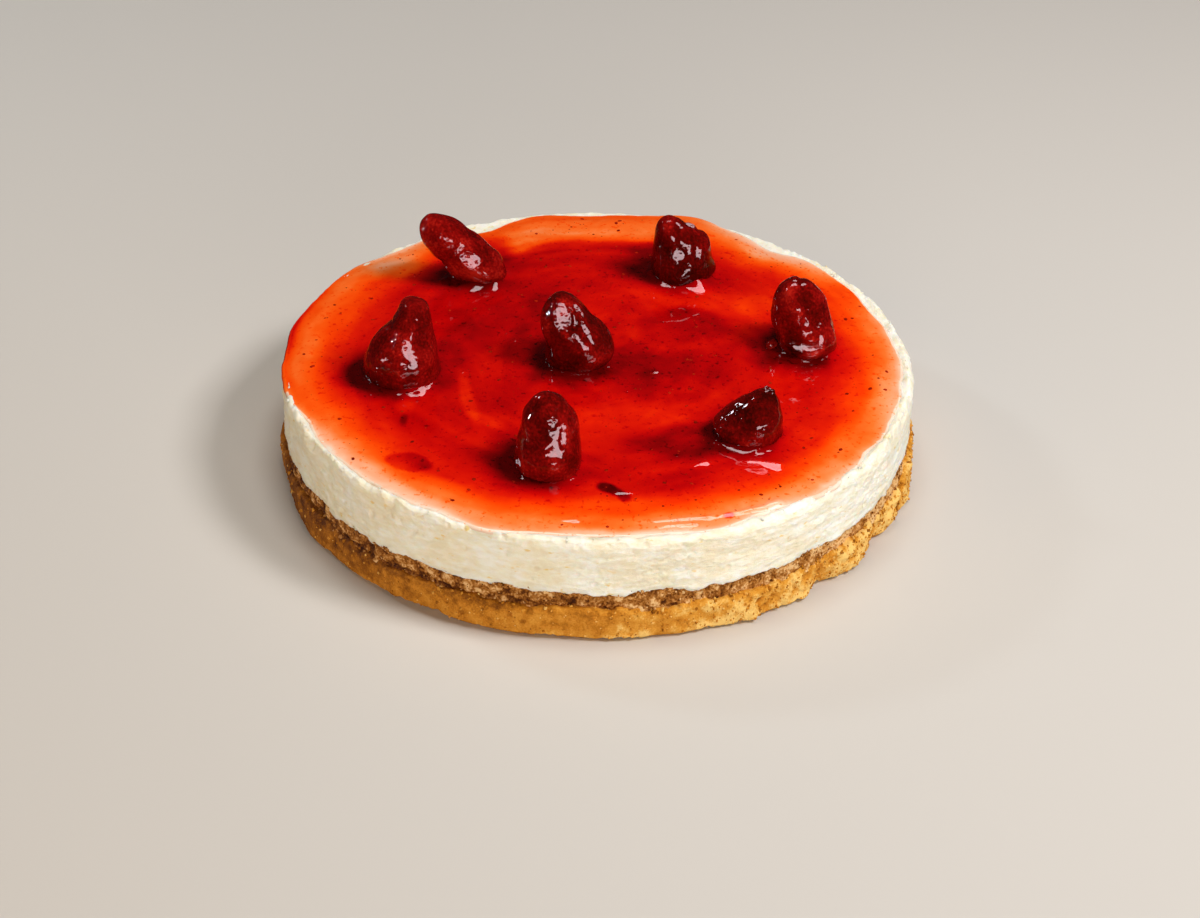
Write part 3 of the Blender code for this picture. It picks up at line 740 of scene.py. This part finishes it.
def jelly_fields(x, y):
    """The jelly's top height above its foot and the depth of its colour at each place. It is thin at the rim,
    full in the middle and never quite level. It climbs each berry by a short steep foot above a gentle ramp,
    longer on some sides, and its colour is darker there, partly for the deeper jelly and partly as painted
    shadow of the berry, most on the side away from the light."""
    radius, angle = np.hypot(x, y), np.arctan2(y, x)
    reach = jelly_reach(angle)
    inset = (reach - radius) * 1000
    flat = np.stack([x, y, np.zeros_like(x)], -1)
    height = JELLY_EDGE + (JELLY_MIDDLE - JELLY_EDGE) * (1 - np.clip(radius / reach, 0, 1) ** 4)
    height -= 0.0005 * (1 - ease(0, 8.0, inset))
    height += 0.00014 * waver(flat, 0.014, 201) + 0.00005 * waver(flat, 0.005, 203)
    height = folded(height, x, y, flat)
    streaks = circle(angle, 0.040) + np.stack([0 * x, 0 * x, radius * 2.0], -1)
    depth = rim_depth(angle, inset, flat) + 0.05 * rough(streaks, 0.011, 219) + 0.03 * rough(flat, 0.022, 211)
    depth = with_pools_and_painted_light(depth, x, y, flat)
    for line, extra in zip(wet_lines, climbs):
        from_x, from_y = x - line[:, 0].mean(), y - line[:, 1].mean()
        near = (np.hypot(from_x, from_y) < 0.045).nonzero()
        gap = np.full(x.shape, 1.0)
        spots = np.stack([x[near], y[near]], -1)
        gap[near] = np.sqrt(((spots[:, None] - line[None, ::2]) ** 2).sum(-1).min(1))
        facing = np.arctan2(from_y, from_x)
        ramp = 2.2 + 0.8 * waver(flat, 0.010, 227) + swells(facing, extra)
        height += 0.0007 * np.exp(-gap / 0.0006) + SLOPE * 0.4 * np.logaddexp(0, (ramp - gap * 1000) / 0.4)
        # Painted shadow: the colour darkens beside each berry, most on the side away from the key light.
        painted_shadow_share = 0.6 + 0.5 * np.cos(facing - np.radians(200))
        depth += painted_shadow_share * (0.24 * np.exp(-((gap / 0.0050) ** 2)) + 0.09 * np.exp(-((gap / 0.012) ** 2)))
    return height, np.clip(depth, 0, 0.95)


jelly_turn = np.linspace(0, 2 * np.pi, 640, endpoint=False)
rows = np.concatenate([np.linspace(0.006, 0.935, 124), np.linspace(0.942, 0.994, 12)])[:, None]
reach = jelly_reach(jelly_turn)
top_x, top_y = rows * reach * np.cos(jelly_turn), rows * reach * np.sin(jelly_turn)
top_height, depth = jelly_fields(top_x, top_y)
jelly_grid = np.stack([top_x, top_y, TOPPING_FOOT + top_height], -1)
# The rim thins to a feather edge, and dips just under the filling's top.
edge_depth = depth[-1:] * np.where(reach > CAKE_RADIUS - 0.001, 0.9, 0.12)
for out, down in ((0.9970, 0.9), (1.0, 0.6), (1.003, -0.6), (1.006, -3.0), (0.990, -6.0), (0.5, -6.0)):
    ring = out * reach * np.array([np.cos(jelly_turn), np.sin(jelly_turn)])
    rim_height = TOPPING_FOOT + top_height[-1] * down
    jelly_grid = np.concatenate([jelly_grid, np.stack([*ring, rim_height], -1)[None]])
    depth = np.concatenate([depth, edge_depth])

jelly_finish, tree, shader = finish_of(
    "strawberry_jelly", Roughness=0.04, IOR=1.36, Specular_Tint=(1.0, 0.88, 0.90, 1)
)
place = add(tree, "TexCoord").outputs["Object"]
cloud = noise(tree, place, 90.0, 5.0, Distortion=1.5)
pulp = remap(tree, noise(tree, place, 560.0), 0.60, 0.74, -0.05, 0.08)
level = maths(tree, "MULTIPLY_ADD", cloud, 0.12, mark_of(tree, "depth"))
level = maths(tree, "ADD", level, pulp, clamp=True)
jelly_tones = (
    (0.00, (244, 224, 205)), (0.06, (250, 198, 166)), (0.12, (252, 174, 134)), (0.20, (252, 145, 87)),
    (0.28, (252, 114, 42)), (0.36, (251, 88, 14)), (0.44, (248, 68, 3)), (0.52, (236, 47, 2)),
    (0.60, (220, 26, 4)), (0.68, (202, 12, 4)), (0.76, (178, 3, 5)), (0.84, (144, 2, 5)),
    (0.92, (104, 2, 3)), (1.00, (62, 2, 1)),
)
tree.links.new(scale_of(tree, jelly_tones, level), shader.inputs["Base Color"])
jelly_mesh = closed_mesh("poured_strawberry_jelly", jelly_grid, depth=depth)
jelly = serve(jelly_mesh, jelly_finish, "strawberry_glaze", "strawberry_jelly")


# Seeds and bubbles. Strawberry seeds and bits of skin that washed into the glaze, dark and sharp-edged, lie
# just under its surface all over, with small bubbles that never rose.
def on_jelly(x, y, sunk):
    """Points sunk by so much in the jelly's surface at some places, and the depth of its colour there."""
    height, depth = jelly_fields(x, y)
    return np.stack([x, y, TOPPING_FOOT + height - sunk], -1), depth


def strewn(name, places, sizes, turns, finish, slot, lumpy=0.0, rings=4, spokes=7, **marks):
    """Many small blobs as one mesh: each is an ellipsoid with (length, width, height) in sizes, its rows by
    the cosine and sine of the polar angle, made uneven by a wave of its own, turned level, and moved."""
    polar = np.linspace(0, np.pi, rings + 2)[1:-1]
    spin = np.linspace(0, 2 * np.pi, spokes, endpoint=False)
    ring = [np.outer(np.sin(polar), np.cos(spin)), np.outer(np.sin(polar), np.sin(spin))]
    unit = np.stack([*ring, np.outer(np.cos(polar), np.ones(spokes))], -1).reshape(-1, 3)
    unit = np.concatenate([unit, [[0, 0, 1.0], [0, 0, -1.0]]])
    count, each = len(places), len(unit)
    own = np.arange(count)[:, None]
    swell = 1 + lumpy * np.sin(3.1 * unit[:, 0] + own * 1.7) * np.sin(2.7 * unit[:, 1] + own * 2.3)
    x, y, z = np.moveaxis(unit[None] * swell[..., None] * np.asarray(sizes)[:, None] / 2, -1, 0)
    c, s = np.cos(turns)[:, None], np.sin(turns)[:, None]
    points = np.stack([x * c - y * s, x * s + y * c, z], -1) + np.asarray(places)[:, None]
    quads, fans = closed_faces(rings, spokes)
    lift = (np.arange(count) * each)[:, None, None]
    quads, fans = (quads + lift).reshape(-1, 4), (fans + lift).reshape(-1, 3)
    values = {key: np.repeat(mark, each) for key, mark in marks.items()}
    return serve(plain_mesh(name, points.reshape(-1, 3), quads, fans, **values), finish, slot)


def berry_gap(x, y):
    """How far each place is from the nearest berry's wet line."""
    gaps = [np.hypot(x[:, None] - line[::3, 0], y[:, None] - line[::3, 1]).min(1) for line in wet_lines]
    return np.min(gaps, 0)


chance = np.random.RandomState(7)
far, way = 0.108 * np.sqrt(chance.rand(760)), chance.rand(760) * 2 * np.pi
x, y = far * np.cos(way), far * np.sin(way)
clear = berry_gap(x, y) > 0.0030
for line in wet_lines:
    clear &= np.hypot(x - line[:, 0].mean(), y - line[:, 1].mean()) > 0.015
places, _ = on_jelly(x[clear], y[clear], 0.00003)
long = 0.00038 + 0.0011 * chance.rand(len(places)) ** 4
sizes = np.stack([long * (1.0 + 0.6 * chance.rand(len(places))), long, long * 0.35], -1)
seed_finish, tree, shader = finish_of("dark_seed", Roughness=0.7, Specular_IOR_Level=0.0)
speck = noise(tree, add(tree, "TexCoord").outputs["Object"], 300.0)
seed_tones = ((0.35, (112, 14, 7)), (0.65, (176, 34, 12)))
tree.links.new(scale_of(tree, seed_tones, speck), shader.inputs["Base Color"])
strewn("sunk_seeds", places, sizes, chance.rand(len(places)) * 6.3, seed_finish, "strawberry_glaze")

far, way = 0.106 * np.sqrt(chance.rand(70)), chance.rand(70) * 2 * np.pi
x, y = far * np.cos(way), far * np.sin(way)
clear = berry_gap(x, y) > 0.002
places, bubble_depth = on_jelly(x[clear], y[clear], 0.0001)
wide = 0.0006 + 0.0010 * chance.rand(len(places)) ** 2
sizes = np.stack([wide, wide, wide * 0.7], -1)
strewn(
    "small_bubbles", places, sizes, wide * 0, jelly_finish, "strawberry_glaze", rings=5, spokes=9,
    depth=np.clip(bubble_depth + 0.04, 0, 1),
)


# Bits of berry. Two scraps of cooked berry that came over with the glaze lie by the right berry, dark red and
# wet. Each is (x, y, length, width, height in mm, turn in degrees, share of colour).
scraps = np.array(((64.1, 9.4, 4.6, 4.2, 4.4, 0, 0.8), (69.0, 6.6, 3.0, 2.6, 3.4, 20, 0.8)))
places, _ = on_jelly(*scraps[:, :2].T / 1000, -0.0002)
sizes, turns = scraps[:, 2:5] / 1000, np.radians(scraps[:, 5])
strewn(
    "berry_scraps", places, sizes, turns, berry_finish, "glazed_strawberry", lumpy=0.25, rings=14, spokes=24,
    relief=scraps[:, 6],
)


# Crumbs and curls. Loose crumb of sponge and crust on the side and along its seams, more of it where the cake
# is broken, and torn curls of filling left along the top edge where the ring came off.
def strewn_over(skin, count, ways):
    """Random points of a stretch of a skin, more of them about some directions, and the draw used."""
    draw = np.random.RandomState(count)
    flat = skin.reshape(-1, 3)
    weight = 0.35 + swells(np.arctan2(flat[:, 1], flat[:, 0]), ways)
    return flat[draw.choice(len(flat), count, p=weight / weight.sum())], draw


GRAIN_WAYS = ((315, 1.2, 45), (20, 0.6, 40))
CURL_WAYS = ((210, 1.5, 25), (30, 0.8, 20), (335, 0.8, 20), (268, 0.9, 5))
# Each kind lies over some rows of a skin: how many, where most of them are, how big in mm, and how pale.
for name, skin, count, ways, big, finish, slot, value in (
    ("crust_grains", base_grid[20:42], 1500, GRAIN_WAYS, 1.1, crust_finish, "shortcrust", 0.60),
    ("crust_crumbs", base_grid[14:20], 300, ((315, 1.5, 40),), 1.6, crust_finish, "shortcrust", 0.62),
    ("sponge_crumbs", sponge_grid[10:32], 900, ((310, 1.0, 60),), 1.2, sponge_finish, "moist_sponge", 0.55),
    ("sponge_fringe", sponge_grid[11:16], 900, ((300, 1.0, 60),), 0.9, sponge_finish, "moist_sponge", 0.40),
    ("filling_curls", cheese_grid[15:21], 90, CURL_WAYS, 1.4, cheese_finish, "cheese_cream", 0.5),
):
    places, draw = strewn_over(skin, count, ways)
    size = big / 1000 * (0.35 + 0.65 * draw.rand(count, 1) ** 2) * (0.7 + 0.6 * draw.rand(count, 3))
    turns = draw.rand(count) * 6.3
    relief = np.clip(value + 0.22 * draw.randn(count), 0.3, 1)
    strewn(name, places, size, turns, finish, slot, lumpy=0.5, rings=3, spokes=6, relief=relief)


# Studio. A plain pale floor under soft lamps, and a camera looking down on the cake from its front.
bpy.ops.mesh.primitive_plane_add(size=6, location=(0, 0, -0.0002))
floor = bpy.context.object
floor.name = "floor"
floor_finish, tree, shader = finish_of("pale_floor", Roughness=0.9)
shader.inputs["Base Color"].default_value = (0.61, 0.575, 0.53, 1)
floor.data.materials.append(floor_finish)
floor.visible_glossy = False

# The windows are only seen mirrored in the glaze, and the one overhead only in the jelly and the berries at
# the back and right. Fills stand for light off walls, too even to be mirrored.
overhead = bpy.data.collections.new("overhead")
for made in (jelly, *berries[4:]):
    overhead.objects.link(made)
for name, place, size, power, colour, seen in (
    ("key_softbox", (0.79, -0.21, 1.03), (0.36, 0.36), 12.2, (1.0, 0.985, 0.985), "fill"),
    ("front_fill", (0.20, -1.16, 0.22), (0.70, 0.20), 6.2, (1.0, 0.98, 0.95), "fill"),
    ("front_window", (0.30, -1.10, 0.29), (0.80, 0.20), 7.9, (1.0, 0.98, 0.98), "mirrored"),
    ("top_fill", (0.05, 0.10, 1.25), (0.55, 0.30), 5.6, (1.0, 0.98, 0.96), "fill"),
    ("top_window", (0.06, 0.38, 1.18), (0.90, 0.44), 16.0, (1.0, 0.98, 0.98), "mirrored"),
    ("left_fill", (-0.95, -0.60, 0.55), (0.70, 0.70), 2.9, (1.0, 0.64, 0.22), "fill"),
    ("back_left_window", (-0.70, 0.45, 0.55), (0.10, 0.10), 1.4, (0.82, 0.92, 1.0), "both"),
    ("left_glint", (-0.95, -0.10, 0.26), (0.022, 0.022), 3.2, (0.80, 0.90, 1.0), "mirrored"),
):
    light = bpy.data.lights.new(name, "AREA")
    light.shape, light.energy, light.color = "RECTANGLE", power, colour
    light.size, light.size_y = size
    lamp = bpy.data.objects.new(name, light)
    bpy.context.scene.collection.objects.link(lamp)
    lamp.location = place
    lamp.rotation_euler = (Vector((0, 0, 0.03)) - Vector(place)).to_track_quat("-Z", "Y").to_euler()
    lamp.visible_glossy, lamp.visible_diffuse = seen != "fill", seen != "mirrored"
    if name == "top_window":
        lamp.light_linking.receiver_collection = overhead

world = bpy.data.worlds.new("studio_air")
bpy.context.scene.world = world
world.use_nodes = True
world.node_tree.nodes["Background"].inputs["Color"].default_value = (0.9, 0.92, 1.0, 1)
world.node_tree.nodes["Background"].inputs["Strength"].default_value = 0.015

ELEVATION, ROLL, DISTANCE = math.radians(33.60), math.radians(0.77), 1.116
ahead = Vector((0, math.cos(ELEVATION), -math.sin(ELEVATION)))
right, up = Vector((1, 0, 0)), Vector((0, math.sin(ELEVATION), math.cos(ELEVATION)))
camera = bpy.data.objects.new("camera", bpy.data.cameras.new("camera"))
camera.data.lens, camera.data.sensor_width = 90, 36
bpy.context.scene.collection.objects.link(camera)
rolled_right = right * math.cos(ROLL) + up * math.sin(ROLL)
rolled_up = up * math.cos(ROLL) - right * math.sin(ROLL)
turn = Matrix((rolled_right, rolled_up, -ahead)).transposed().to_4x4()
camera.matrix_world = Matrix.Translation(Vector((0.0014, -0.0050, 0)) - ahead * DISTANCE) @ turn
bpy.context.scene.camera = camera
bpy.context.scene.view_settings.view_transform = "Standard"
